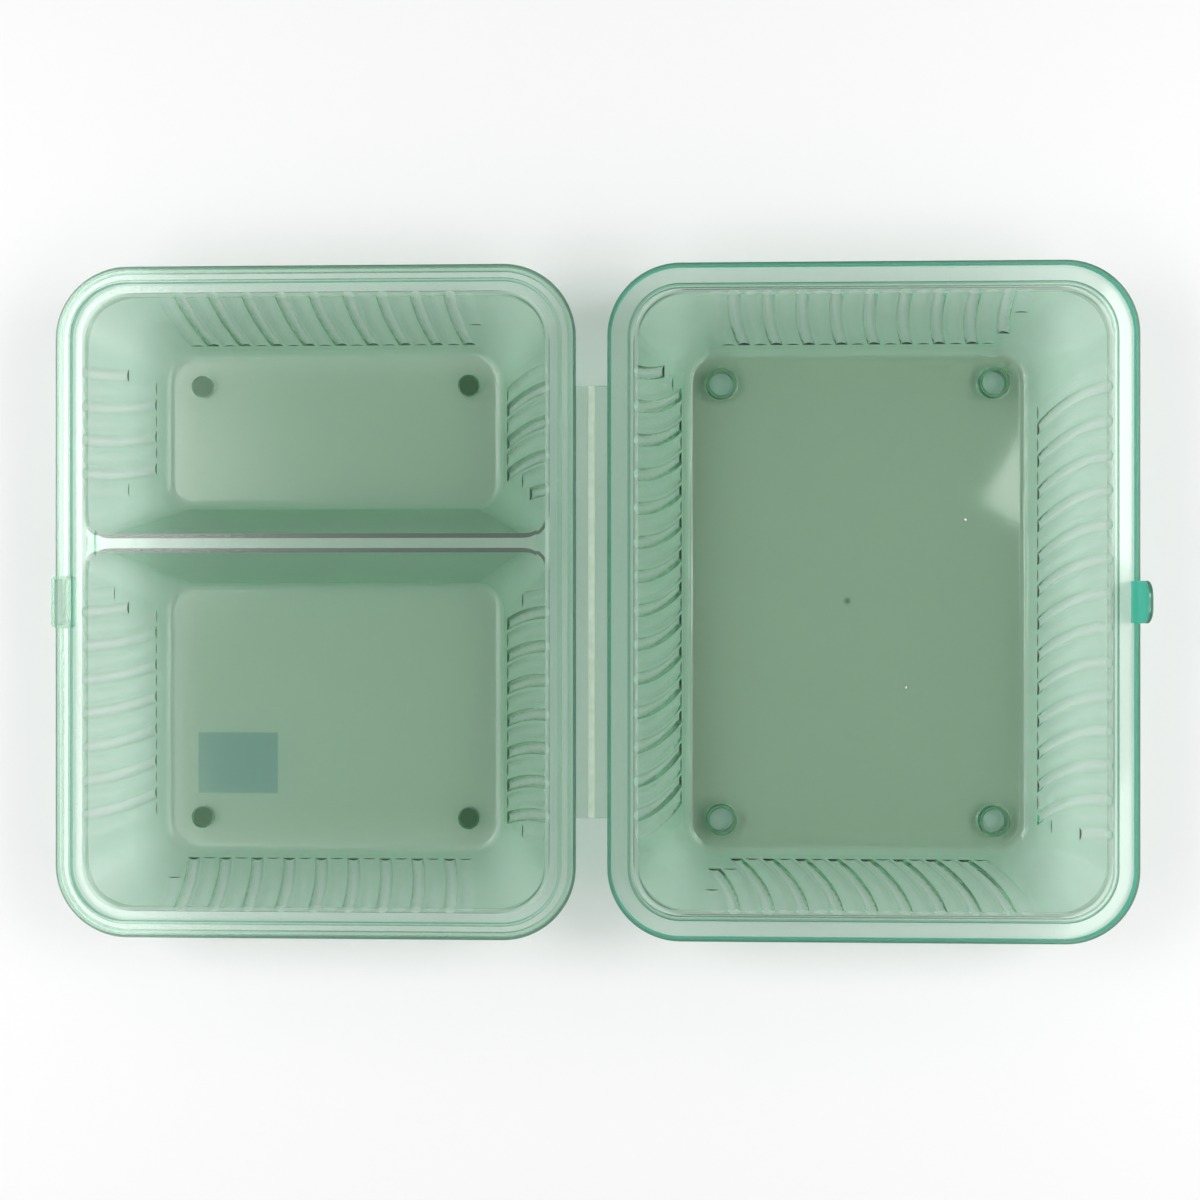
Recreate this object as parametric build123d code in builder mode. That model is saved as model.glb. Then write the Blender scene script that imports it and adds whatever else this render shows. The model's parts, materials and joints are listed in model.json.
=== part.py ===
from build123d import *
import os
from math import asin, degrees, sqrt

# Reusable takeout container, one translucent moulding, lying opened flat. All sizes in millimetres.
# Origin under the middle of the opened object, on the surface it lies on. Base at -X, lid at +X.

# Overall sizes of each half
half_width = 197.5
half_length = 254.0
hinge_height = 38.0
rim_corner_r = 27.5

# Tubs
wall_skin = 2.3
mouth_inset = 11.3
mouth_corner_r = 18.0
side_run = 20.7
end_run = 16.7
floor_corner_r = 11.5
floor_fillet = 3.5
floor_thickness = 1.5

# Rims
plate = 1.5
flange = 1.7
bead_width = 4.9
bead_height = 2.4
bead_wall = 1.2
skirt_drop = 1.2
skirt_wall = 1.2
lip_wall = 1.2
channel_width = 6.4
band_wall = 1.3
closed_gap = 0.2

# Divider of the base
divider_offset = 22.3
divider_width = 6.4
divider_run = 13.0
divider_corner_r = 7.0
divider_floor_r = 10.0
divider_drop = 1.0
divider_end = 3.5

# Feet of the base and the sockets of the lid that they stand in when stacked
foot_spacing_x = 108.0
foot_spacing_y = 174.0
foot_r = 4.3
foot_height = 3.0
foot_edge = 0.4
socket_clearance = 0.4
socket_depth = 4.0
socket_wall = 1.3
socket_root = 1.0

# Living hinge
strip_gap = 11.8
strip_length = 162.0
strip_thickness = 1.4
web_width = 1.1
web_thickness = 0.5
crease_gap = 0.3
crease_step = 0.1

# Catch loop of the base and latch tab of the lid
loop_reach = 1.8
loop_depth = 8.0
loop_wall = 1.3
loop_corner_r = 2.0
tab_width = 15.6
tab_height = 13.5
tab_thickness = 1.4
tab_root = 1.2
tab_lean = 0.8
tab_corner_r = 6.0
tab_ridge = 0.4
tab_ridge_height = 1.2
tab_side_clearance = 0.8
tab_back_clearance = 0.9

# Flutes in the walls
flute_pitch = 6.4
wide_flute = {"width": 5.8, "depth": 0.55}
deep_flute = {"width": 5.0, "depth": 1.15}
flute_stop = 6.5
flute_start = 1.5
flute_air = 0.04
flute_steps = (1.0, 0.8, 0.6, 0.4, 0.2)
corner_gap = 24.0
divider_gap = 12.0
base_leans = {"top": 4.0, "right": 5.0, "bottom": 4.0, "left": 4.5}
lid_leans = {"top": 6.0, "right": 12.0, "bottom": 10.0, "left": 9.0}

# Places that follow from the sizes
hinge_x = loop_reach / 2
base_x = hinge_x - strip_gap / 2 - half_width / 2
lid_x = hinge_x + strip_gap / 2 + half_width / 2
base_edge_x = base_x - half_width / 2
lid_edge_x = lid_x + half_width / 2
mouth_width = half_width - 2 * mouth_inset
mouth_length = half_length - 2 * mouth_inset
floor_width = mouth_width - 2 * side_run
floor_length = mouth_length - 2 * end_run
base_floor_z = foot_height + floor_thickness
lid_floor_z = floor_thickness
leaf_z = hinge_height - crease_step
channel_z = hinge_height - bead_height - closed_gap
band_z = hinge_height - closed_gap
band_inset = lip_wall + channel_width
ridge_low = divider_offset - divider_width / 2
ridge_high = divider_offset + divider_width / 2
socket_r = foot_r + socket_clearance
window_length = tab_width + 2 * tab_side_clearance
window_back = tab_root + tab_thickness + tab_back_clearance
window_front = loop_wall - loop_reach


def tray(centre_x, outlines, edge_r):
    """A tapered solid between two rounded outlines, with its lower edge rounded."""
    with BuildPart() as solid:
        for z, width, low, high, low_r, high_r in outlines:
            with BuildSketch(Plane.XY.offset(z)):
                with BuildLine():
                    FilletPolyline(
                        (centre_x - width / 2, low),
                        (centre_x + width / 2, low),
                        (centre_x + width / 2, high),
                        (centre_x - width / 2, high),
                        radius=(low_r, low_r, high_r, high_r),
                        close=True,
                    )
                make_face()
        loft(ruled=True)
        fillet(solid.faces().sort_by(Axis.Z)[0].edges(), edge_r)
    return solid.part


def tub_shell(centre_x, mouth_z, floor_z, low, high):
    """The outside of a tub or a compartment, from its mouth down to the underside of its floor."""
    under_z = floor_z - floor_thickness
    reach = (mouth_z - under_z) / (mouth_z - floor_z)
    under_low = low["mouth"] + (low["floor"] - low["mouth"]) * reach
    under_high = high["mouth"] + (high["floor"] - high["mouth"]) * reach
    under_width = mouth_width - 2 * side_run * reach
    outlines = (
        (
            mouth_z,
            mouth_width + 2 * wall_skin,
            low["mouth"] - wall_skin,
            high["mouth"] + wall_skin,
            low["mouth_r"] + wall_skin,
            high["mouth_r"] + wall_skin,
        ),
        (
            under_z,
            under_width + 2 * wall_skin,
            under_low - wall_skin,
            under_high + wall_skin,
            low["floor_r"] + wall_skin,
            high["floor_r"] + wall_skin,
        ),
    )
    return tray(centre_x, outlines, floor_fillet + floor_thickness)


def hollow(centre_x, mouth_z, floor_z, low, high):
    """The space inside a tub or a compartment, between two of its ends."""
    outlines = (
        (mouth_z, mouth_width, low["mouth"], high["mouth"], low["mouth_r"], high["mouth_r"]),
        (floor_z, floor_width, low["floor"], high["floor"], low["floor_r"], high["floor_r"]),
    )
    return tray(centre_x, outlines, floor_fillet)


def wall_plane(centre_x, mouth_z, floor_z, side):
    """Plane on the inside of a wall: x clockwise along the mouth, y down the wall, z into the plastic."""
    sign = 1 if side in ("top", "right") else -1
    if side in ("top", "bottom"):
        origin = Vector(centre_x, sign * mouth_length / 2, mouth_z)
        along = Vector(sign, 0, 0)
        down = Vector(0, -sign * end_run, floor_z - mouth_z)
    else:
        origin = Vector(centre_x + sign * mouth_width / 2, 0, mouth_z)
        along = Vector(0, -sign, 0)
        down = Vector(-sign * side_run, 0, floor_z - mouth_z)
    return Plane(origin=origin, x_dir=along, z_dir=along.cross(down))


def flute(plane, place, length, curve_r, kind):
    """One shallow groove that starts above the mouth and curves as it runs down the wall."""
    half = kind["width"] / 2
    lead = asin(flute_start / curve_r)
    turn = asin(length / curve_r)
    start_x = place + curve_r - sqrt(curve_r**2 - flute_start**2)
    section = Plane(
        origin=plane.from_local_coords(Vector(start_x, -flute_start, 0)),
        x_dir=plane.x_dir,
        z_dir=plane.y_dir,
    )
    with BuildPart() as groove:
        with BuildLine(plane) as path:
            CenterArc((place + curve_r, 0), curve_r, 180 + degrees(lead), -degrees(lead + turn))
        with BuildSketch(section):
            with BuildLine():
                ThreePointArc((-half, flute_air), (0, -kind["depth"]), (half, flute_air))
                Line((half, flute_air), (-half, flute_air))
            make_face()
        sweep(path=path.line, normal=plane.y_dir)
    return groove.part


def flutes(plane, run, drop, lean, start, stop):
    """A row of wide and deep flutes in turn, shorter where the wall's flat part narrows."""
    slope = sqrt(run**2 + drop**2)
    full = slope - flute_stop
    curve_r = (full**2 + lean**2) / (2 * lean)
    first = start["mouth"] + start["gap"]
    last = stop["mouth"] - stop["gap"]
    count = int((last - first) / flute_pitch)
    first_place = (first + last - (count - 1) * flute_pitch) / 2
    grooves = []
    for number in range(count):
        place = first_place + number * flute_pitch
        kind = deep_flute if number % 2 else wide_flute
        for step in flute_steps:
            length = full * step
            at = place + curve_r - sqrt(curve_r**2 - length**2)
            share = length / slope
            low_mouth = start["mouth"] + start["mouth_r"]
            low_floor = start["floor"] + start["floor_r"]
            high_mouth = stop["mouth"] - stop["mouth_r"]
            high_floor = stop["floor"] - stop["floor_r"]
            low = low_mouth + (low_floor - low_mouth) * share
            high = high_mouth + (high_floor - high_mouth) * share
            if low < at - kind["width"] / 2 and at + kind["width"] / 2 < high:
                grooves.append(flute(plane, place, length, curve_r, kind))
                break
    return grooves


def corner_end(mouth_half, floor_half, sign):
    """An end of a wall or hollow at the tub's own corner, on the low or the high side."""
    return {
        "mouth": sign * mouth_half,
        "floor": sign * floor_half,
        "mouth_r": mouth_corner_r,
        "floor_r": floor_corner_r,
        "gap": corner_gap,
    }


def divider_end_at(ridge, run):
    """An end of a wall or hollow at the divider."""
    return {
        "mouth": ridge,
        "floor": ridge + run,
        "mouth_r": divider_corner_r,
        "floor_r": divider_floor_r,
        "gap": divider_gap,
    }


def mirrored(end):
    """The same end counted the other way along the wall."""
    return {**end, "mouth": -end["mouth"], "floor": -end["floor"]}


side_low = corner_end(mouth_length / 2, floor_length / 2, -1)
side_high = corner_end(mouth_length / 2, floor_length / 2, 1)
end_low = corner_end(mouth_width / 2, floor_width / 2, -1)
end_high = corner_end(mouth_width / 2, floor_width / 2, 1)
below_ridge = divider_end_at(ridge_low, -divider_run)
above_ridge = divider_end_at(ridge_high, divider_run)

# Base: rim, tub with two compartments, feet, its leaf of the hinge and the catch loop
base_drop = hinge_height - base_floor_z
base_spans = {
    "top": [(end_low, end_high)],
    "bottom": [(end_low, end_high)],
    "left": [(side_low, below_ridge), (above_ridge, side_high)],
    "right": [(side_low, mirrored(above_ridge)), (mirrored(below_ridge), side_high)],
}
with BuildPart() as base:
    # Rim plate with a short skirt under its edge
    with BuildSketch(Plane((base_x, 0, hinge_height - plate - skirt_drop))):
        RectangleRounded(half_width, half_length, rim_corner_r)
    extrude(amount=plate + skirt_drop)
    with BuildSketch(Plane((base_x, 0, hinge_height - plate - skirt_drop))):
        RectangleRounded(half_width - 2 * skirt_wall, half_length - 2 * skirt_wall, rim_corner_r - skirt_wall)
    extrude(amount=skirt_drop, mode=Mode.SUBTRACT)
    # Raised bead, hollow from below
    with BuildSketch(Plane((base_x, 0, hinge_height))):
        RectangleRounded(half_width - 2 * flange, half_length - 2 * flange, rim_corner_r - flange)
        inner = flange + bead_width
        RectangleRounded(
            half_width - 2 * inner, half_length - 2 * inner, rim_corner_r - inner, mode=Mode.SUBTRACT
        )
    extrude(amount=bead_height)
    with BuildSketch(Plane((base_x, 0, hinge_height - plate))):
        outer = flange + bead_wall
        RectangleRounded(half_width - 2 * outer, half_length - 2 * outer, rim_corner_r - outer)
        inner = flange + bead_width - bead_wall
        RectangleRounded(
            half_width - 2 * inner, half_length - 2 * inner, rim_corner_r - inner, mode=Mode.SUBTRACT
        )
    extrude(amount=bead_height, mode=Mode.SUBTRACT)
    # A shell for each compartment, the ridge that joins them, and the feet
    add(tub_shell(base_x, hinge_height, base_floor_z, side_low, below_ridge))
    add(tub_shell(base_x, hinge_height, base_floor_z, above_ridge, side_high))
    with BuildSketch(Plane((base_x, divider_offset, hinge_height - divider_drop - plate))):
        Rectangle(mouth_width, divider_width)
    extrude(amount=divider_drop + plate)
    with BuildSketch(Plane((base_x, 0, 0))):
        with GridLocations(foot_spacing_x, foot_spacing_y, 2, 2):
            Circle(foot_r)
    extrude(amount=base_floor_z)
    chamfer(base.edges().filter_by(GeomType.CIRCLE).group_by(Axis.Z)[0], foot_edge)
    # The two compartments, and the ridge between them a little lower than the rim
    add(hollow(base_x, hinge_height, base_floor_z, side_low, below_ridge), mode=Mode.SUBTRACT)
    add(hollow(base_x, hinge_height, base_floor_z, above_ridge, side_high), mode=Mode.SUBTRACT)
    with BuildSketch(Plane((base_x, divider_offset, hinge_height - divider_drop))):
        Rectangle(mouth_width - 2 * divider_end, divider_width + 2 * divider_corner_r)
    extrude(amount=divider_drop, mode=Mode.SUBTRACT)
    # Leaf of the living hinge, thinned to a web at the crease
    with BuildSketch(Plane.XZ.offset(-strip_length / 2)):
        with BuildLine():
            Polyline(
                (hinge_x - strip_gap / 2 - skirt_wall, leaf_z),
                (hinge_x - crease_gap / 2, leaf_z),
                (hinge_x - crease_gap / 2, leaf_z - web_thickness),
                (hinge_x - web_width, leaf_z - strip_thickness),
                (hinge_x - strip_gap / 2 - skirt_wall, leaf_z - strip_thickness),
                close=True,
            )
        make_face()
    extrude(amount=strip_length)
    # Catch loop: a box under the rim, and up inside the bead, with a slot right through it for the tab
    with BuildSketch(Plane((base_edge_x, 0, hinge_height - loop_depth))):
        with Locations(((window_back + loop_wall - loop_reach) / 2, 0)):
            RectangleRounded(window_back + loop_wall + loop_reach, window_length + 2 * loop_wall, loop_corner_r)
    extrude(amount=loop_depth - crease_step)
    with BuildSketch(Plane((base_edge_x, 0, hinge_height - plate))):
        with Locations(((flange + window_back + loop_wall) / 2, 0)):
            Rectangle(window_back + loop_wall - flange, window_length + 2 * loop_wall)
    extrude(amount=bead_height)
    with BuildSketch(Plane((base_edge_x, 0, hinge_height - loop_depth))):
        with Locations(((window_back + window_front) / 2, 0)):
            Rectangle(window_back - window_front, window_length)
    extrude(amount=loop_depth + bead_height, mode=Mode.SUBTRACT)
    # Flutes
    grooves = []
    for side, spans in base_spans.items():
        run = end_run if side in ("top", "bottom") else side_run
        for start, stop in spans:
            plane = wall_plane(base_x, hinge_height, base_floor_z, side)
            grooves += flutes(plane, run, base_drop, base_leans[side], start, stop)
    add(grooves, mode=Mode.SUBTRACT)
base.part.label = "base"

# Lid: rim with its channel and band, tub, stacking sockets, its leaf of the hinge and the latch tab
lid_drop = band_z - lid_floor_z
with BuildPart() as lid:
    # Rim: an outer lip, a channel for the bead of the base, and a raised inner band
    with BuildSketch(Plane((lid_x, 0, channel_z - plate))):
        RectangleRounded(half_width, half_length, rim_corner_r)
    extrude(amount=leaf_z - channel_z + plate)
    with BuildSketch(Plane((lid_x, 0, channel_z))):
        RectangleRounded(half_width - 2 * lip_wall, half_length - 2 * lip_wall, rim_corner_r - lip_wall)
    extrude(amount=leaf_z - channel_z, mode=Mode.SUBTRACT)
    with BuildSketch(Plane((lid_x, 0, channel_z))):
        RectangleRounded(half_width - 2 * band_inset, half_length - 2 * band_inset, rim_corner_r - band_inset)
    extrude(amount=band_z - channel_z)
    with BuildSketch(Plane((lid_x, 0, channel_z - plate))):
        inner = band_inset + band_wall
        RectangleRounded(half_width - 2 * inner, half_length - 2 * inner, rim_corner_r - inner)
    extrude(amount=band_z - channel_z, mode=Mode.SUBTRACT)
    # Tub with its sockets
    add(tub_shell(lid_x, band_z, lid_floor_z, side_low, side_high))
    add(hollow(lid_x, band_z, lid_floor_z, side_low, side_high), mode=Mode.SUBTRACT)
    with BuildSketch(Plane((lid_x, 0, lid_floor_z))):
        with GridLocations(foot_spacing_x, foot_spacing_y, 2, 2):
            Circle(socket_r + socket_wall)
    extrude(amount=socket_depth + socket_wall - lid_floor_z)
    roots = lid.edges().filter_by(GeomType.CIRCLE).filter_by_position(Axis.Z, lid_floor_z, lid_floor_z)
    fillet(roots, socket_root)
    with BuildSketch(Plane((lid_x, 0, 0))):
        with GridLocations(foot_spacing_x, foot_spacing_y, 2, 2):
            Circle(socket_r)
    extrude(amount=socket_depth, mode=Mode.SUBTRACT)
    # Leaf of the living hinge
    with BuildSketch(Plane.XZ.offset(-strip_length / 2)):
        with BuildLine():
            Polyline(
                (hinge_x + strip_gap / 2 + lip_wall, leaf_z),
                (hinge_x + crease_gap / 2, leaf_z),
                (hinge_x + crease_gap / 2, leaf_z - web_thickness),
                (hinge_x + web_width, leaf_z - strip_thickness),
                (hinge_x + strip_gap / 2 + lip_wall, leaf_z - strip_thickness),
                close=True,
            )
        make_face()
    extrude(amount=strip_length)
    # Flutes
    grooves = []
    for side, lean in lid_leans.items():
        run = end_run if side in ("top", "bottom") else side_run
        ends = (end_low, end_high) if side in ("top", "bottom") else (side_low, side_high)
        grooves += flutes(wall_plane(lid_x, band_z, lid_floor_z, side), run, lid_drop, lean, *ends)
    add(grooves, mode=Mode.SUBTRACT)
    # Latch tab, upright on the rim, with a ridge that snaps under the loop
    with BuildSketch(Plane.XZ.offset(-tab_width / 2)):
        root_x = lid_edge_x - tab_root
        tip_x = root_x + tab_lean
        tip_z = hinge_height + tab_height
        ridge_z = hinge_height + loop_depth
        ridge_x = root_x + tab_lean * loop_depth / tab_height
        with BuildLine():
            Polyline(
                (root_x - tab_thickness, channel_z - plate / 2),
                (root_x, channel_z - plate / 2),
                (root_x, hinge_height),
                (ridge_x, ridge_z),
                (ridge_x + tab_ridge, ridge_z + tab_ridge),
                (ridge_x + tab_ridge, ridge_z + tab_ridge_height),
                (tip_x, tip_z),
                (tip_x - tab_thickness, tip_z),
                (root_x - tab_thickness, hinge_height),
                close=True,
            )
        make_face()
    extrude(amount=tab_width)
    tip = lid.edges().filter_by(Axis.X).group_by(Axis.Z)[-1]
    fillet(tip, tab_corner_r)
lid.part.label = "lid"

os.makedirs("parts", exist_ok=True)
export_step(base.part, "parts/base.step")
export_step(lid.part, "parts/lid.step")
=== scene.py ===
import json
from math import radians

import bmesh
import bpy
from mathutils import Matrix, Vector


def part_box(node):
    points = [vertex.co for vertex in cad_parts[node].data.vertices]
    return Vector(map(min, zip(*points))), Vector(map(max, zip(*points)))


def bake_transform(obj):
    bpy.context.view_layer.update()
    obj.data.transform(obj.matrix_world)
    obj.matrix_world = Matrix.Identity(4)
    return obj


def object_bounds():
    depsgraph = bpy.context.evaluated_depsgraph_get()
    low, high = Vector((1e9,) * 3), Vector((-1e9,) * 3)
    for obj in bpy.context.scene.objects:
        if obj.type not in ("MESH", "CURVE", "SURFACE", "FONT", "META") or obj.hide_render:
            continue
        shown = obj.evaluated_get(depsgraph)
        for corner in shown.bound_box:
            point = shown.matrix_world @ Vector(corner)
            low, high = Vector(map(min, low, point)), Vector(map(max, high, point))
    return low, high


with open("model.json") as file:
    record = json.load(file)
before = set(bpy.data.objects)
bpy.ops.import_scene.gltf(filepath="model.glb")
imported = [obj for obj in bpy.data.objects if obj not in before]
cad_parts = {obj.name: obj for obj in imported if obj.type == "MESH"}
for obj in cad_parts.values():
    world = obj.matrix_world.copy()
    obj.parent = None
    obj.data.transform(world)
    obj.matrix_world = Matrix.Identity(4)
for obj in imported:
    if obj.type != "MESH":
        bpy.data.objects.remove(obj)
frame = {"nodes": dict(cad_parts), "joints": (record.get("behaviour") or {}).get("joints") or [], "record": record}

cad_low, cad_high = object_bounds()
mm = 0.001

# Places read from the frame
hinge = Vector(frame["joints"][0]["pos_m"])
lid_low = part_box("lid")[0]
middles = {mount["name"]: mount["pos_m"] for mount in frame["record"]["mounts"]}

# Camera, looking down as in the photograph, from a little to the right and tipped to the left
camera_place = (19.1 * mm, 0.75 * mm, 538 * mm)
camera_tip = 0.03
focal_length = 40.05
sensor_width = 36

# Studio
floor_size = 4.0
floor_white = (0.88, 0.88, 0.88, 1)
floor_drop = 0.3 * mm
world_white = (1, 1, 1, 1)
zenith_light = 0.3
horizon_light = 0.75
horizon_power = 3
lamps = {
    "box": {"place": (0.57, 0.16, 0.72), "size": (0.36, 0.36), "turn": 45, "power": 1.8},
    "low_box": {"place": (0.58, -0.22, 0.72), "size": (0.6, 0.3), "turn": 0, "power": 1.6},
    "side": {"place": (0.95, 0, 0.35), "size": (1.2, 0.6), "turn": 0, "power": 1.8},
}

# Web of the living hinge, a thin pale strip
web_length = 162 * mm
web_width = 2.4 * mm
web_top = 0.02 * mm
web_thickness = 0.06 * mm
web_steps = 52
web_colour = (0.45, 0.6, 0.45, 1)
web_pale = (0.7, 0.82, 0.7, 1)
web_cloud = 3 * mm

# Plastic: what it takes out of the light on the way through, and its surface
base_transmission = 0.96
lid_transmission = 0.97
web_transmission = 0.3
absorb_colour = (0.39, 0.86, 0.6, 1)
absorb_density = 250
pale = (0.92, 0.95, 0.93, 1)
# Painted shade: a greyer colour on the underside of each floor, standing in for the shaded table seen through it
base_painted_shade = (0.69, 0.74, 0.61, 1)
lid_painted_shade = (0.63, 0.68, 0.53, 1)
painted_shade_height = 3 * mm
refraction = 1.49
base_roughness = 0.2
lid_roughness = 0.06
rim_roughness = 0.1
rim_bottom = 36 * mm
grain_size = 0.65 * mm
grain_depth = 0.035 * mm
grain_slope = 0.2
wave_size = 16 * mm
wave_depth = 0.04 * mm
ripple_detail = 1

# Soft white sheen that grows up the walls to the rim, and a flat teal painted on the rim's upright edges: the
# plastic's own teal, with painted shade for the darker look of thick plastic seen edge-on
sheen_share = 0.12
sheen_roughness = 0.35
sheen_bottom = 8 * mm
sheen_slope = 0.15
edge_shade_share = {"base": 0.3, "lid": 0.75}
edge_shade_colour = (0.08, 0.66, 0.5, 1)
edge_bottom = 35 * mm
edge_steep = 0.3

# Painted shade: a darker teal on the sockets' upright walls, for the dark ring that thick plastic shows seen
# edge-on
ring_top = 9 * mm
ring_steep = 0.12
ring_shade_colour = (0.04, 0.42, 0.3, 1)

# Painted shade: dark lines along the outline of each half, where its steps and edges show dark, matched to the
# photograph: middle and half width of each, measured inwards, and its strength
rim_middle = {"base": middles["feet"], "lid": middles["sockets"]}
rim_half = (98.75 * mm, cad_high[1])
rim_corner = 27.5 * mm
shade_line_colour = (0.02, 0.16, 0.1, 1)
rim_shade_lines = {
    "base": ((0.5 * mm, 0.7 * mm, 0.45),),
    "lid": ((0.7 * mm, 0.8 * mm, 0.68), (8.1 * mm, 0.65 * mm, 0.37)),
}
line_blur = 0.25 * mm
# Painted highlight: a pale line around the mouth of each tray, its inset and half width, share and colour
mouth_highlight_line = (10.85 * mm, 0.85 * mm)
mouth_highlight_share = 0.4
mouth_highlight_colour = (0.55, 0.72, 0.6, 1)

# Marks on the floors of the two trays
gate_place = (102.0 * mm, 0.4 * mm, 1.5 * mm)
gate_radius = 1.1 * mm
gate_depth = 0.5 * mm
gate_tint_radius = 2.2 * mm
speck_places = ((148.8 * mm, 32.8 * mm, 1.5 * mm), (125.2 * mm, -34.2 * mm, 1.5 * mm))
speck_radius = 0.8 * mm
speck_depth = 0.4 * mm
gate_colour = (0.2, 0.4, 0.25, 1)
patch_middle = (-143.1 * mm, -64.9 * mm)
patch_half = (16.4 * mm, 12.5 * mm)
patch_top = 3.2 * mm
patch_blur = 0.5 * mm
patch_colour = (0.36, 0.58, 0.6, 1)

# Underside of the base, and a painted shadow that darkens the bottoms of its feet
base_underside = 3 * mm
foot_shadow_top = 0.5 * mm
foot_shadow_colour = (0, 0.2, 0.04, 1)


def add_camera():
    data = bpy.data.cameras.new("camera")
    data.lens = focal_length
    data.sensor_width = sensor_width
    camera = bpy.data.objects.new("camera", data)
    camera.location = camera_place
    camera.rotation_euler = (0, camera_tip, 0)
    bpy.context.scene.collection.objects.link(camera)
    bpy.context.scene.camera = camera


def add_area(name, place, size, turn, power):
    """A lamp that faces the middle of the object, turned about its own axis."""
    data = bpy.data.lights.new(name, "AREA")
    data.shape = "RECTANGLE"
    data.size = size[0]
    data.size_y = size[1]
    data.energy = power
    light = bpy.data.objects.new(name, data)
    light.location = place
    facing = (-Vector(place)).to_track_quat("-Z", "Y").to_matrix()
    light.rotation_euler = (facing @ Matrix.Rotation(radians(turn), 3, "Z")).to_euler()
    bpy.context.scene.collection.objects.link(light)


def node_material(name):
    material = bpy.data.materials.new(name)
    material.use_nodes = True
    nodes = material.node_tree.nodes
    nodes.clear()
    return material, nodes, material.node_tree.links


def add_floor():
    material, nodes, links = node_material("floor_white")
    diffuse = nodes.new("ShaderNodeBsdfDiffuse")
    diffuse.inputs["Color"].default_value = floor_white
    out = nodes.new("ShaderNodeOutputMaterial")
    links.new(diffuse.outputs["BSDF"], out.inputs["Surface"])
    data = bpy.data.meshes.new("floor")
    half = floor_size / 2
    corners = [(-half, -half, 0), (half, -half, 0), (half, half, 0), (-half, half, 0)]
    data.from_pydata(corners, [], [(0, 1, 2, 3)])
    floor = bpy.data.objects.new("floor", data)
    floor.data.materials.append(material)
    floor.location.z = -floor_drop
    bpy.context.scene.collection.objects.link(floor)


def calc(nodes, links, operation, first, second):
    """A Math node on two sockets or numbers."""
    node = nodes.new("ShaderNodeMath")
    node.operation = operation
    for socket, value in zip(node.inputs, (first, second)):
        if isinstance(value, (int, float)):
            socket.default_value = value
        else:
            links.new(value, socket)
    return node.outputs[0]


def fade(nodes, links, value, start, end):
    """Maps a value from one range to another and holds it at the ends."""
    node = nodes.new("ShaderNodeMapRange")
    node.inputs["From Min"].default_value, node.inputs["From Max"].default_value = start
    node.inputs["To Min"].default_value, node.inputs["To Max"].default_value = end
    links.new(value, node.inputs["Value"])
    return node.outputs["Result"]


def add_world():
    """A studio that is bright all round and dimmer overhead, by a power of the sine from the zenith."""
    world = bpy.data.worlds.new("world")
    world.use_nodes = True
    nodes = world.node_tree.nodes
    links = world.node_tree.links
    background = nodes["Background"]
    background.inputs["Color"].default_value = world_white
    direction = nodes.new("ShaderNodeTexCoord")
    parts = nodes.new("ShaderNodeSeparateXYZ")
    links.new(direction.outputs["Generated"], parts.inputs["Vector"])
    squared = calc(nodes, links, "MULTIPLY", parts.outputs["Z"], parts.outputs["Z"])
    level = calc(nodes, links, "SUBTRACT", 1, squared)
    shaped = calc(nodes, links, "POWER", level, horizon_power / 2)
    strength = fade(nodes, links, shaped, (0, 1), (zenith_light, horizon_light))
    links.new(strength, background.inputs["Strength"])
    bpy.context.scene.world = world


def tint(nodes, links, share, colour, other):
    """A colour, or a socket that gives one, with a share of another mixed in."""
    node = nodes.new("ShaderNodeMix")
    node.data_type = "RGBA"
    first, second = [socket for socket in node.inputs if socket.type == "RGBA"]
    second.default_value = other
    if isinstance(colour, tuple):
        first.default_value = colour
    else:
        links.new(colour, first)
    links.new(share, node.inputs[0])
    return next(socket for socket in node.outputs if socket.type == "RGBA")


def spot(nodes, links, place, radius):
    """1 at a place and 0 from its radius on."""
    where = nodes.new("ShaderNodeTexCoord")
    far = nodes.new("ShaderNodeVectorMath")
    far.operation = "DISTANCE"
    far.inputs[1].default_value = place
    links.new(where.outputs["Object"], far.inputs[0])
    share = fade(nodes, links, far.outputs["Value"], (0, radius), (1, 0))
    share.node.interpolation_type = "SMOOTHSTEP"
    return share


def ripple(nodes, links, size, depth):
    """Uneven height of a surface, in metres."""
    where = nodes.new("ShaderNodeTexCoord")
    noise = nodes.new("ShaderNodeTexNoise")
    noise.inputs["Scale"].default_value = 1 / size
    noise.inputs["Detail"].default_value = ripple_detail
    links.new(where.outputs["Object"], noise.inputs["Vector"])
    return calc(nodes, links, "MULTIPLY", noise.outputs[0], depth)


def slope(nodes, links):
    """How far a surface faces up: 1 flat, 0 upright, below 0 facing down."""
    facing = nodes.new("ShaderNodeNewGeometry")
    parts = nodes.new("ShaderNodeSeparateXYZ")
    links.new(facing.outputs["True Normal"], parts.inputs["Vector"])
    return parts.outputs["Z"]


def place_of(nodes, links, axis="Z"):
    """Where a point of the surface lies along one axis."""
    where = nodes.new("ShaderNodeTexCoord")
    parts = nodes.new("ShaderNodeSeparateXYZ")
    links.new(where.outputs["Object"], parts.inputs["Vector"])
    return parts.outputs[axis]


def within(nodes, links, value, middle, half, blur):
    """1 near the middle and 0 from half away on, with a blurred edge between."""
    offset = calc(nodes, links, "SUBTRACT", value, middle)
    away = calc(nodes, links, "ABSOLUTE", offset, 0)
    return fade(nodes, links, away, (half - blur, half), (1, 0))


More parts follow.
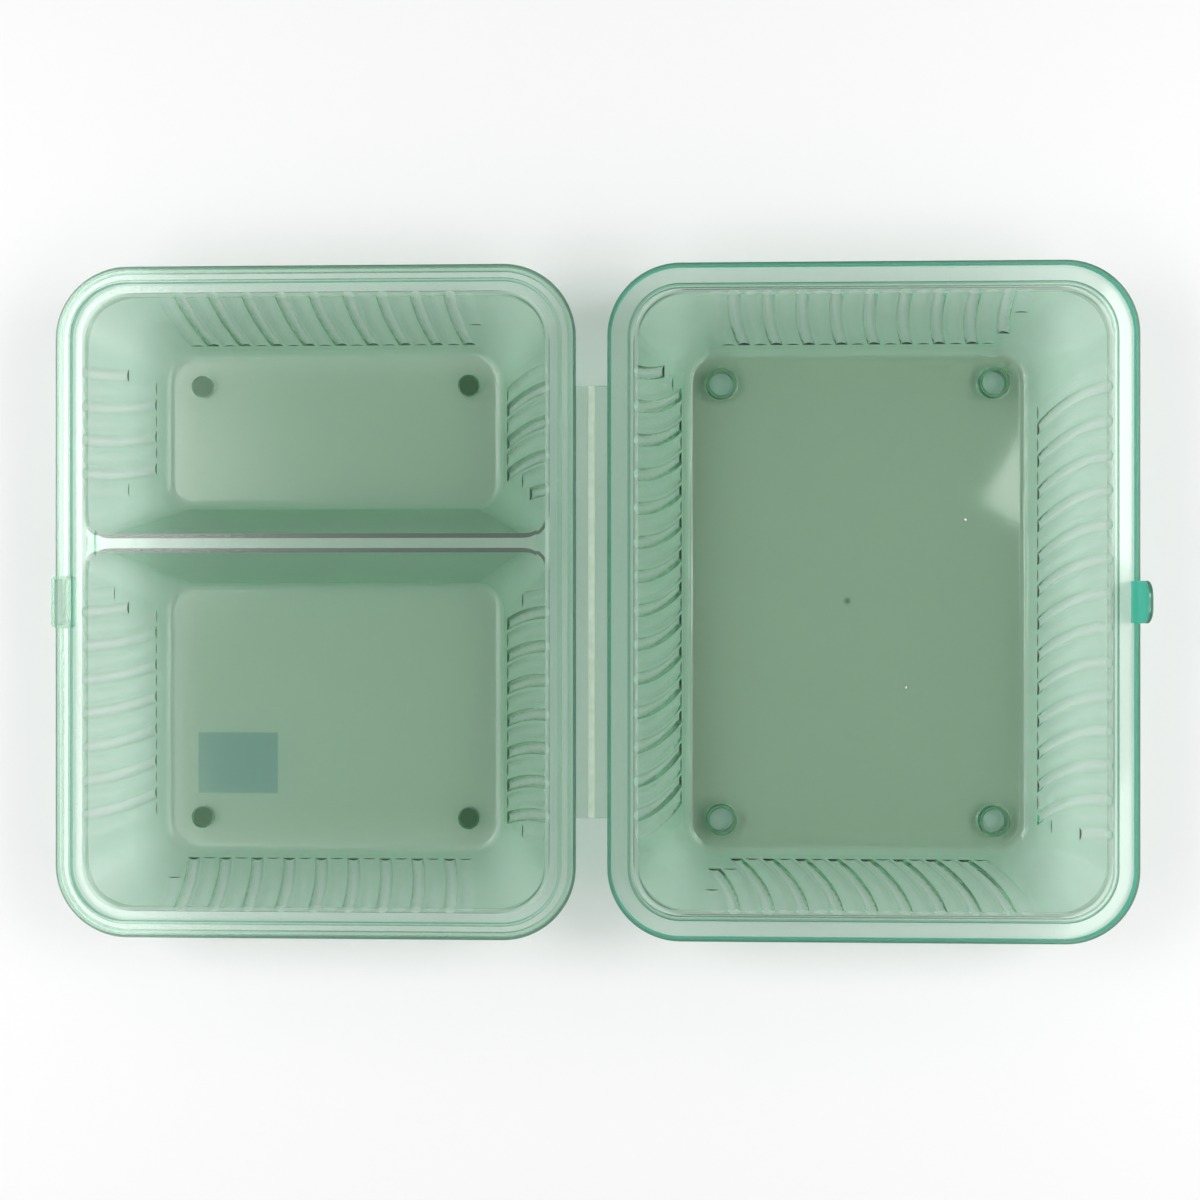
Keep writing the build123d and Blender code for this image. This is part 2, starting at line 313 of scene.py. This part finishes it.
def inset(nodes, links, half):
    """How far inside the outline of one half a place lies, true up to the radius of its corners."""
    where = nodes.new("ShaderNodeTexCoord")
    place = where.outputs["Object"]
    straight = tuple(size - rim_corner for size in rim_half) + (0,)
    steps = (
        ("SUBTRACT", rim_middle[half]),
        ("MULTIPLY", (1, 1, 0)),
        ("ABSOLUTE", None),
        ("SUBTRACT", straight),
        ("MAXIMUM", (0, 0, 0)),
        ("LENGTH", None),
    )
    for operation, value in steps:
        step = nodes.new("ShaderNodeVectorMath")
        step.operation = operation
        if value is not None:
            step.inputs[1].default_value = value
        links.new(place, step.inputs[0])
        place = next(socket for socket in step.outputs if socket.enabled)
    return calc(nodes, links, "SUBTRACT", rim_corner, place)


def mixed(nodes, links, share, first, second):
    """One surface with a share of another."""
    mix = nodes.new("ShaderNodeMixShader")
    links.new(share, mix.inputs[0])
    links.new(first, mix.inputs[1])
    links.new(second, mix.inputs[2])
    return mix.outputs[0]


def steep(nodes, links, limit):
    """1 on faces that are nearly upright, and 0 elsewhere."""
    upright = calc(nodes, links, "ABSOLUTE", slope(nodes, links), 0)
    return calc(nodes, links, "LESS_THAN", upright, limit)


def rim_look(nodes, links, shader, half, marks=0):
    """Adds the sheen, the painted teal edges, the painted shade lines and a painted highlight at the mouth to a
    plastic; marks is a share of more sheen.
    """
    height = place_of(nodes, links)
    rise = fade(nodes, links, height, (sheen_bottom, rim_bottom), (0, sheen_share))
    upward = calc(nodes, links, "GREATER_THAN", slope(nodes, links), sheen_slope)
    share = calc(nodes, links, "MULTIPLY", rise, upward)
    share = calc(nodes, links, "MAXIMUM", share, marks)
    gloss = nodes.new("ShaderNodeBsdfAnisotropic")
    gloss.inputs["Roughness"].default_value = sheen_roughness
    look = mixed(nodes, links, share, shader.outputs["BSDF"], gloss.outputs["BSDF"])

    # Painted shade: a flat teal on the rim's upright edges, for the darker look of thick plastic seen edge-on
    share = calc(nodes, links, "MULTIPLY", steep(nodes, links, edge_steep), edge_shade_share[half])
    depth = inset(nodes, links, half)
    # Painted shade: dark lines along the outline, on faces that look up
    shade_lines = 0
    for middle, half_width, strength in rim_shade_lines[half]:
        line = within(nodes, links, depth, middle, half_width, line_blur)
        shade_lines = calc(nodes, links, "MAXIMUM", shade_lines, calc(nodes, links, "MULTIPLY", line, strength))
    shade_lines = calc(nodes, links, "MULTIPLY", shade_lines, upward)
    # Painted highlight: a pale line around each mouth
    mouth_highlight = within(nodes, links, depth, *mouth_highlight_line, line_blur)
    mouth_highlight = calc(nodes, links, "MULTIPLY", mouth_highlight, upward)
    on_shade_line = calc(nodes, links, "GREATER_THAN", shade_lines, 0)
    colour = tint(nodes, links, on_shade_line, edge_shade_colour, shade_line_colour)
    colour = tint(nodes, links, mouth_highlight, colour, mouth_highlight_colour)
    for line in (shade_lines, calc(nodes, links, "MULTIPLY", mouth_highlight, mouth_highlight_share)):
        share = calc(nodes, links, "MAXIMUM", share, line)
    diffuse = nodes.new("ShaderNodeBsdfDiffuse")
    links.new(colour, diffuse.inputs["Color"])
    lined = mixed(nodes, links, share, look, diffuse.outputs["BSDF"])
    high = calc(nodes, links, "GREATER_THAN", height, edge_bottom)
    look = mixed(nodes, links, high, look, lined)
    out = next(node for node in nodes if node.type == "OUTPUT_MATERIAL")
    links.new(look, out.inputs["Surface"])


def plastic(name, roughness, transmission):
    """Tinted clear plastic with a slightly milky surface."""
    material, nodes, links = node_material(name)
    shader = nodes.new("ShaderNodeBsdfPrincipled")
    shader.inputs["Base Color"].default_value = pale
    shader.inputs["Roughness"].default_value = roughness
    shader.inputs["IOR"].default_value = refraction
    shader.inputs["Transmission Weight"].default_value = transmission
    volume = nodes.new("ShaderNodeVolumeAbsorption")
    volume.inputs["Color"].default_value = absorb_colour
    volume.inputs["Density"].default_value = absorb_density
    out = nodes.new("ShaderNodeOutputMaterial")
    links.new(shader.outputs["BSDF"], out.inputs["Surface"])
    links.new(volume.outputs["Volume"], out.inputs["Volume"])
    return material, nodes, links, shader


def painted_floor_shade(nodes, links, underside, shade):
    """Painted shade: colour that is greyer on the underside of a floor, standing in for the shaded table seen
    through it, matched to the photograph.
    """
    height = place_of(nodes, links)
    low = fade(nodes, links, height, (underside, underside + painted_shade_height), (1, 0))
    down = calc(nodes, links, "LESS_THAN", slope(nodes, links), 0)
    share = calc(nodes, links, "MULTIPLY", low, down)
    return tint(nodes, links, share, pale, shade)


def raise_surface(nodes, links, shader, height):
    """Gives a surface an uneven height in metres."""
    bump = nodes.new("ShaderNodeBump")
    bump.inputs["Distance"].default_value = 1
    links.new(height, bump.inputs["Height"])
    links.new(bump.outputs["Normal"], shader.inputs["Normal"])


def base_plastic():
    """Grained where it faces up, with a painted shadow darkening the bottoms of the feet and one plain patch under
    the large compartment.
    """
    material, nodes, links, shader = plastic("base_plastic", base_roughness, base_transmission)
    upward = calc(nodes, links, "GREATER_THAN", slope(nodes, links), grain_slope)
    grain = ripple(nodes, links, grain_size, grain_depth)
    raise_surface(nodes, links, shader, calc(nodes, links, "MULTIPLY", grain, upward))
    height = place_of(nodes, links)
    share = calc(nodes, links, "LESS_THAN", height, patch_top)
    for axis, middle, half in zip("XY", patch_middle, patch_half):
        side = within(nodes, links, place_of(nodes, links, axis), middle, half, patch_blur)
        share = calc(nodes, links, "MULTIPLY", share, side)
    # Painted shade on the underside of the floors
    colour = painted_floor_shade(nodes, links, base_underside, base_painted_shade)
    colour = tint(nodes, links, share, colour, patch_colour)
    # Painted shadow: the bottoms of the feet darkened, for the unlit table under them
    foot_shadow = calc(nodes, links, "LESS_THAN", height, foot_shadow_top)
    links.new(tint(nodes, links, foot_shadow, colour, foot_shadow_colour), shader.inputs["Base Color"])
    smoother = fade(nodes, links, height, (rim_bottom, rim_bottom + mm), (base_roughness, rim_roughness))
    links.new(smoother, shader.inputs["Roughness"])
    rim_look(nodes, links, shader, "base")
    return material


def lid_plastic():
    """Glossy and slightly wavy, with a gate mark, two specks and painted shade on the sockets' upright walls."""
    material, nodes, links, shader = plastic("lid_plastic", lid_roughness, lid_transmission)
    height = ripple(nodes, links, wave_size, wave_depth)
    gate = calc(nodes, links, "MULTIPLY", spot(nodes, links, gate_place, gate_radius), gate_depth)
    height = calc(nodes, links, "ADD", height, gate)
    marks = 0
    for place in speck_places:
        dot = spot(nodes, links, place, speck_radius)
        height = calc(nodes, links, "ADD", height, calc(nodes, links, "MULTIPLY", dot, speck_depth))
        marks = calc(nodes, links, "MAXIMUM", marks, dot)
    raise_surface(nodes, links, shader, height)
    # Painted shade on the underside of the floor
    colour = painted_floor_shade(nodes, links, lid_low.z, lid_painted_shade)
    gate = spot(nodes, links, gate_place, gate_tint_radius)
    colour = tint(nodes, links, gate, colour, gate_colour)
    # Painted shade on the sockets' upright walls
    low = calc(nodes, links, "LESS_THAN", place_of(nodes, links), ring_top)
    ring_shade = calc(nodes, links, "MULTIPLY", steep(nodes, links, ring_steep), low)
    links.new(tint(nodes, links, ring_shade, colour, ring_shade_colour), shader.inputs["Base Color"])
    rim_look(nodes, links, shader, "lid", marks)
    return material


def web_plastic():
    """The same plastic, less clear and with cloudy shades."""
    material, nodes, links, shader = plastic("web_plastic", base_roughness, web_transmission)
    cloud = ripple(nodes, links, web_cloud, 1)
    links.new(tint(nodes, links, cloud, web_colour, web_pale), shader.inputs["Base Color"])
    return material


def add_web(material):
    """The thin web that joins the two leaves of the hinge."""
    half = web_width / 2
    mesh = bmesh.new()
    rows = []
    for step in range(web_steps + 1):
        x = hinge.x - half + web_width * step / web_steps
        corners = []
        for y, z in ((-1, 0), (1, 0), (1, 1), (-1, 1)):
            height = hinge.z - web_top - z * web_thickness
            corners.append(mesh.verts.new((x, hinge.y + y * web_length / 2, height)))
        rows.append(corners)
    for row, after in zip(rows, rows[1:]):
        for side in range(4):
            turn = (side + 1) % 4
            mesh.faces.new((row[side], row[turn], after[turn], after[side]))
    mesh.faces.new(rows[0])
    mesh.faces.new(rows[-1])
    bmesh.ops.recalc_face_normals(mesh, faces=mesh.faces)
    data = bpy.data.meshes.new("hinge_web")
    mesh.to_mesh(data)
    mesh.free()
    data.materials.append(material)
    web = bpy.data.objects.new("hinge_web", data)
    bpy.context.scene.collection.objects.link(web)
    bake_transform(web)


add_camera()
add_world()
add_floor()
for name, lamp in lamps.items():
    x, y, z = lamp["place"]
    for hand, side in (("left", -1), ("right", 1)):
        add_area(f"{hand}_{name}", (side * x, y, z), lamp["size"], lamp["turn"], lamp["power"])

finishes = {"base": base_plastic(), "lid": lid_plastic()}
for node, material in finishes.items():
    piece = frame["nodes"][node]
    piece.modifiers.new("flat_faces", "WEIGHTED_NORMAL")
    for place in piece.material_slots:
        place.material = material
add_web(web_plastic())

# The few lamps render faster without it
bpy.context.scene.cycles.use_light_tree = False
bpy.context.scene.view_settings.view_transform = "Standard"
